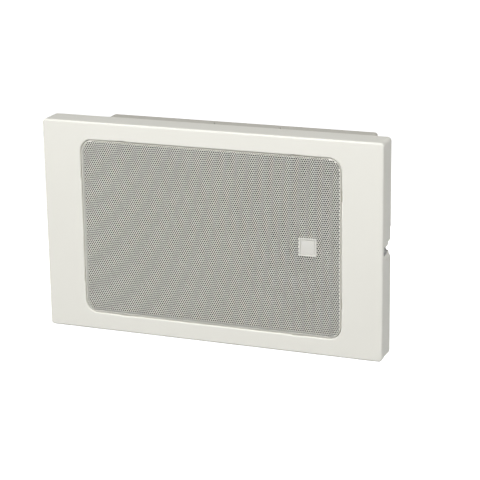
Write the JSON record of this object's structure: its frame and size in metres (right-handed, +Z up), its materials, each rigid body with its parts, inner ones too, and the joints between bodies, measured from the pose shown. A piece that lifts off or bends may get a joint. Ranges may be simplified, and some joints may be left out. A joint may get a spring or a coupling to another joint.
{
  "type": "loudspeaker",
  "caption": "Shallow rectangular wall loudspeaker: pressed steel front with a perforated grille, folded steel back box, full-range cone driver and line transformer.",
  "frame": {"origin": "centre of the back box's outer back face, which lies against the wall, midway between the four wall holes", "axes": "+Z up the wall, +X to the right as seen from the front, +Y into the wall; the grille looks along -Y"},
  "size_m": [0.31, 0.0877, 0.19],
  "materials": {
    "paint": "satin off-white powder coat",
    "grille": "satin off-white powder coat on perforated sheet",
    "box_paint": "satin off-white powder coat",
    "badge_plastic": "satin moulded plastic",
    "cloth": "black woven acoustic cloth",
    "foam": "closed-cell black foam",
    "zinc": "bright zinc plate",
    "black_paint": "matt black paint",
    "rubber": "black moulded rubber",
    "felt": "needled fibre felt",
    "basket": "satin black paint on pressed steel",
    "gasket": "black pressed board",
    "cone_paper": "black felted paper pulp",
    "treated_cloth": "doped cloth",
    "kapton": "amber film former",
    "copper": "enamelled copper wire",
    "spider_cloth": "resin-treated woven cloth",
    "iron": "zinc-plated soft iron",
    "ferrite": "grey-black sintered ferrite",
    "phenolic": "brown phenolic board with tinned lugs",
    "lamination": "varnished silicon-steel laminations",
    "bobbin": "nylon bobbin wrapped in polyester tape",
    "block": "black moulded phenolic",
    "brass": "nickelled brass",
    "wire": "red PVC insulation"
  },
  "bodies": {
    "housing": {"front_panel": "paint", "grille": "grille", "badge": "badge_plastic", "acoustic_cloth": "cloth", "foam_frame": "foam", "side_screws": "zinc", "baffle_plate": "black_paint", "box_seal": "foam", "baffle_screws": "zinc", "back_box": "box_paint", "cable_grommet": "rubber", "damping_felt": "felt", "driver_basket": "basket", "driver_screws": "zinc", "rim_gasket": "gasket", "surround": "treated_cloth", "spider": "spider_cloth", "top_plate": "iron", "magnet": "ferrite", "yoke": "iron", "terminal_strip": "phenolic", "tinsel_leads": "copper", "transformer_core": "lamination", "transformer_coil": "bobbin", "transformer_bracket": "zinc", "transformer_screws": "zinc", "terminal_block": "block", "terminal_plates": "brass", "terminal_screws": "brass", "block_screws": "zinc", "hookup_wires": "wire"},
    "moving_cone": {"cone": "cone_paper", "dust_cap": "treated_cloth", "coil_former": "kapton", "coil_winding": "copper"}
  },
  "joints": [
    {"name": "cone_excursion", "type": "slide", "parent": "housing", "child": "moving_cone", "axis": [0, -1, 0], "range_m": [-0.002, 0.002], "stiffness_N_per_m": 2000, "deforming": ["surround", "spider", "tinsel_leads"]}
  ]
}
